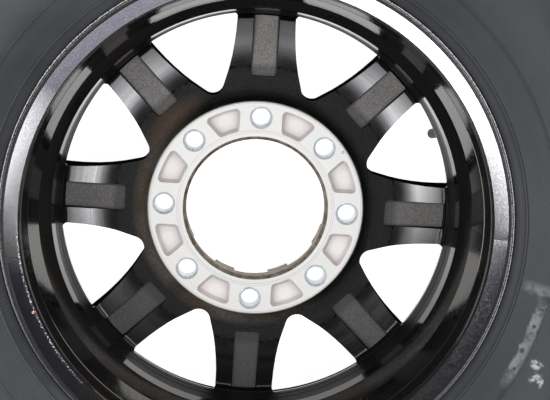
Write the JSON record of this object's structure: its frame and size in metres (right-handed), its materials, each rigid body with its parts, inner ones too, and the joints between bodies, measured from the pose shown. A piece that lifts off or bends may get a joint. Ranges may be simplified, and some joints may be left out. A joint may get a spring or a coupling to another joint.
{
  "type": "wheel and tyre assembly",
  "caption": "Cast aluminium wheel with straight spokes and back pockets, fitted with a radial tyre and a snap-in valve with screw cap.",
  "frame": {"origin": "centre of the pad that bolts to the hub, in the pad's own plane, which is also the middle of the wheel's width", "axes": "+Z along the wheel's axis out of the pad, towards the back of the wheel; +X through a lug hole"},
  "size_m": [0.7823, 0.7822, 0.232],
  "materials": {
    "black_paint": "gloss black over cast aluminium, with the pad turned bare",
    "tyre_rubber": "matt",
    "valve_rubber": "matt",
    "brass": "turned",
    "cap_plastic": "moulded",
    "seal_rubber": "matt",
    "spring_steel": "drawn wire"
  },
  "bodies": {
    "wheel": {"wheel": "black_paint", "tyre": "tyre_rubber", "valve_rubber": "valve_rubber", "valve_stem": "brass", "core_body": "brass", "core_gasket": "seal_rubber", "core_spring": "spring_steel"},
    "pin": {"core_pin": "brass", "core_washer": "seal_rubber"},
    "seal": {"cap_seal": "seal_rubber"},
    "cap": {"valve_cap": "cap_plastic"}
  },
  "joints": [
    {"name": "pin_press", "type": "slide", "parent": "wheel", "child": "pin", "axis": [0.562, 0.2432, 0.7906], "range_m": [0, 0.0014], "stiffness_N_per_m": 600, "springref_m": -0.002, "deforming": ["core_spring"]},
    {"name": "cap_lift", "type": "slide", "parent": "wheel", "child": "seal", "axis": [-0.562, -0.2432, -0.7906], "range_m": [0, 0.00556]},
    {"name": "cap_turn", "type": "hinge", "parent": "seal", "child": "cap", "pos_m": [0.16492, 0.07137, -0.05949], "axis": [-0.562, -0.2432, -0.7906], "range_deg": [0, 2520]}
  ],
  "couplings": [
    {"joint": "cap_turn", "follows": "cap_lift", "rad_per_m": 7913.3}
  ]
}
